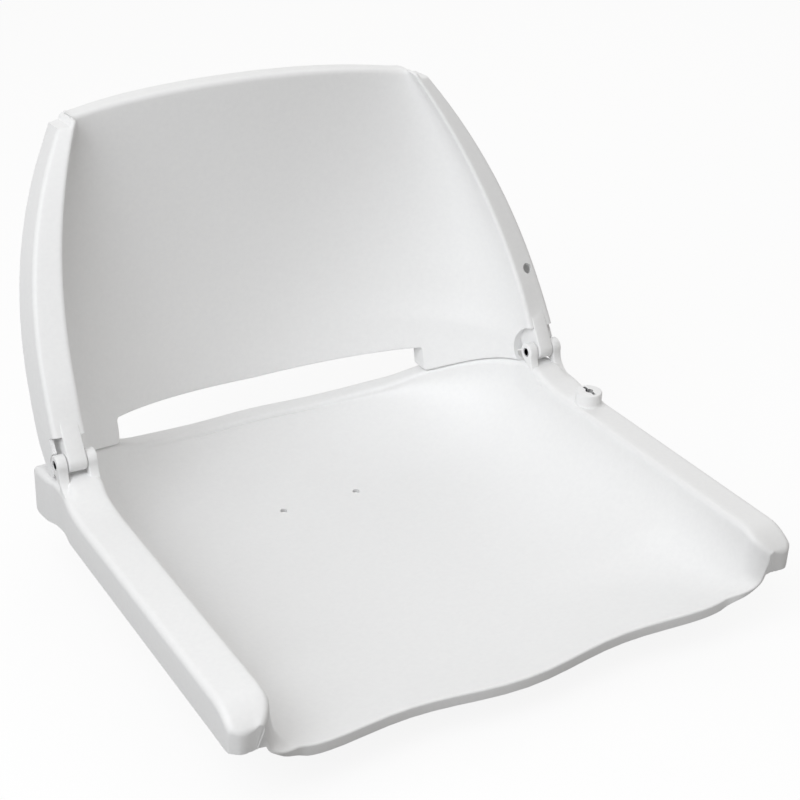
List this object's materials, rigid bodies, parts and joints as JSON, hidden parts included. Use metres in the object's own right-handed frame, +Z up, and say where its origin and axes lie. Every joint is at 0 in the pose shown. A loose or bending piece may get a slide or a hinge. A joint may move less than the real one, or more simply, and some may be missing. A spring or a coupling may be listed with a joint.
{
  "type": "folding boat seat",
  "caption": "Moulded plastic boat seat: dished seat with side rails, and a wrap-around backrest that folds forward on hinge pins",
  "frame": {"origin": "middle of the box's bottom face, on the plane of the four mounting pads under the seat", "axes": "+X to the right of someone facing the seat, +Y to the back, +Z up"},
  "size_m": [0.4994, 0.5056, 0.3656],
  "materials": {
    "seat_shell": "fine grained white moulding",
    "backrest_shell": "fine grained white moulding",
    "hinge_pin_left": "stainless spring pin",
    "hinge_pin_right": "stainless spring pin",
    "mounting_insert_front_left": "turned brass",
    "mounting_insert_front_right": "turned brass",
    "mounting_insert_rear_left": "turned brass",
    "mounting_insert_rear_right": "turned brass"
  },
  "bodies": {
    "seat": {"seat_shell": "seat_shell", "hinge_pin_left": "hinge_pin_left", "hinge_pin_right": "hinge_pin_right", "mounting_insert_front_left": "mounting_insert_front_left", "mounting_insert_front_right": "mounting_insert_front_right", "mounting_insert_rear_left": "mounting_insert_rear_left", "mounting_insert_rear_right": "mounting_insert_rear_right"},
    "backrest": {"backrest_shell": "backrest_shell"}
  },
  "joints": [
    {"name": "backrest_fold", "type": "hinge", "parent": "seat", "child": "backrest", "pos_m": [0, 0.0725, 0.122], "axis": [1, 0, 0], "range_deg": [0, 121]}
  ]
}
